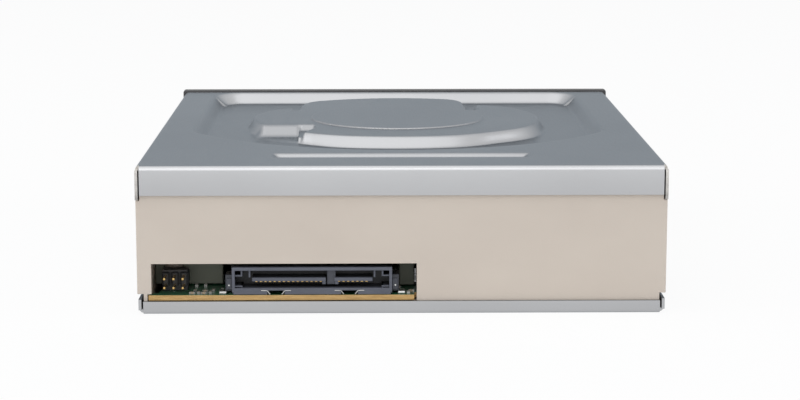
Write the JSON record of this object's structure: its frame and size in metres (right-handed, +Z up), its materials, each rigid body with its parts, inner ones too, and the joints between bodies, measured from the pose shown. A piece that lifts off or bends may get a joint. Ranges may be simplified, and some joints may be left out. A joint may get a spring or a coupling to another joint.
{
  "type": "internal DVD writer",
  "caption": "Half-height internal optical disc drive with pressed steel covers, moulded frame, sliding tray, geared loader, lifting pickup mechanism and rear data and power connector.",
  "frame": {"origin": "centre of the bounding box's underside", "axes": "+X to the drive's left as seen from its rear, +Y from the front bezel to the rear connector, +Z up through the top cover"},
  "size_m": [0.1476, 0.17, 0.0418],
  "materials": {
    "zinc_steel": "zinc plated sheet, satin",
    "bright_steel": "bright plated",
    "dark_steel": "dark passivated",
    "beige_plastic": "fine matt moulding",
    "black_plastic": "fine matt moulding",
    "grey_plastic": "matt",
    "white_plastic": "satin acetal",
    "connector_plastic": "satin",
    "board_green": "solder mask",
    "chip_black": "matt moulding compound",
    "rubber": "matt",
    "lens_glass": "coated",
    "amber_light": "tinted clear"
  },
  "bodies": {
    "chassis": {"top_cover": "zinc_steel", "bottom_cover": "zinc_steel", "cover_screw_1": "dark_steel", "cover_screw_2": "dark_steel", "cover_screw_3": "dark_steel", "cover_screw_4": "dark_steel", "main_frame": "beige_plastic", "main_board": "board_green", "main_chip": "chip_black", "motor_driver_chip": "chip_black", "memory_chip": "chip_black", "cable_socket": "white_plastic", "capacitor_1": "bright_steel", "capacitor_2": "bright_steel", "sata_connector": "connector_plastic", "jumper_header": "chip_black", "front_board": "board_green", "eject_switch": "chip_black", "indicator_led": "white_plastic", "light_pipe": "amber_light", "front_bezel": "black_plastic", "loading_motor": "bright_steel", "drive_belt": "rubber", "clamp_bridge": "zinc_steel"},
    "eject_button": {"eject_button": "black_plastic"},
    "tray": {"tray": "black_plastic", "tray_door": "black_plastic"},
    "tray_gear": {"tray_gear": "white_plastic"},
    "pulley_gear": {"pulley_gear": "white_plastic"},
    "motor_pulley": {"motor_pulley": "grey_plastic"},
    "cam_slider": {"cam_slider": "white_plastic"},
    "traverse": {"traverse_frame": "black_plastic", "damper_1": "rubber", "damper_2": "rubber", "damper_3": "rubber", "damper_4": "rubber", "mechanism_plate": "zinc_steel", "guide_rod_left": "bright_steel", "guide_rod_right": "bright_steel", "feed_motor": "bright_steel", "spindle_motor": "grey_plastic"},
    "turntable": {"turntable": "grey_plastic", "motor_rotor": "bright_steel"},
    "pickup": {"pickup_body": "dark_steel", "lens_holder": "chip_black", "objective_lens": "lens_glass"},
    "lead_screw": {"lead_screw": "bright_steel"},
    "clamper": {"clamper": "grey_plastic", "clamp_plate": "bright_steel"}
  },
  "joints": [
    {"name": "tray_slide", "type": "slide", "parent": "chassis", "child": "tray", "axis": [0, -1, 0], "range_m": [0, 0.136]},
    {"name": "tray_gear_spin", "type": "hinge", "parent": "chassis", "child": "tray_gear", "pos_m": [0.046, -0.0635, 0], "axis": [0, 0, 1], "range_deg": [-660, 0]},
    {"name": "pulley_gear_spin", "type": "hinge", "parent": "chassis", "child": "pulley_gear", "pos_m": [0.0256, -0.0635, 0], "axis": [0, 0, 1], "range_deg": [0, 1200]},
    {"name": "motor_pulley_spin", "type": "hinge", "parent": "chassis", "child": "motor_pulley", "pos_m": [-0.005, -0.0645, 0], "axis": [0, 0, 1], "range_deg": [0, 4310]},
    {"name": "eject_press", "type": "slide", "parent": "chassis", "child": "eject_button", "axis": [0, 1, 0], "range_m": [0, 0.0006], "stiffness_N_per_m": 800},
    {"name": "traverse_tilt", "type": "hinge", "parent": "chassis", "child": "traverse", "pos_m": [0, 0.062, 0.0145], "axis": [1, 0, 0], "range_deg": [0, 4.1]},
    {"name": "cam_slide", "type": "slide", "parent": "chassis", "child": "cam_slider", "axis": [1, 0, 0], "range_m": [0, 0.0161]},
    {"name": "turntable_spin", "type": "hinge", "parent": "traverse", "child": "turntable", "pos_m": [0, -0.0155, 0], "axis": [0, 0, 1], "continuous": true},
    {"name": "clamper_spin", "type": "hinge", "parent": "chassis", "child": "clamper", "pos_m": [0, -0.0155, 0], "axis": [0, 0, 1], "continuous": true},
    {"name": "pickup_slide", "type": "slide", "parent": "traverse", "child": "pickup", "axis": [0, 1, 0], "range_m": [0, 0.035]},
    {"name": "lead_screw_spin", "type": "hinge", "parent": "traverse", "child": "lead_screw", "pos_m": [-0.0316, 0, 0.0156], "axis": [0, 1, 0], "range_deg": [0, 4210]}
  ],
  "couplings": [
    {"joint": "tray_gear_spin", "follows": "tray_slide", "rad_per_m": -83.333},
    {"joint": "pulley_gear_spin", "follows": "tray_slide", "rad_per_m": 152.78},
    {"joint": "motor_pulley_spin", "follows": "tray_slide", "rad_per_m": 552.35},
    {"joint": "cam_slide", "follows": "traverse_tilt", "m_per_rad": 0.2236},
    {"joint": "clamper_spin", "follows": "turntable_spin", "ratio": 1},
    {"joint": "lead_screw_spin", "follows": "pickup_slide", "rad_per_m": 2094.4}
  ]
}
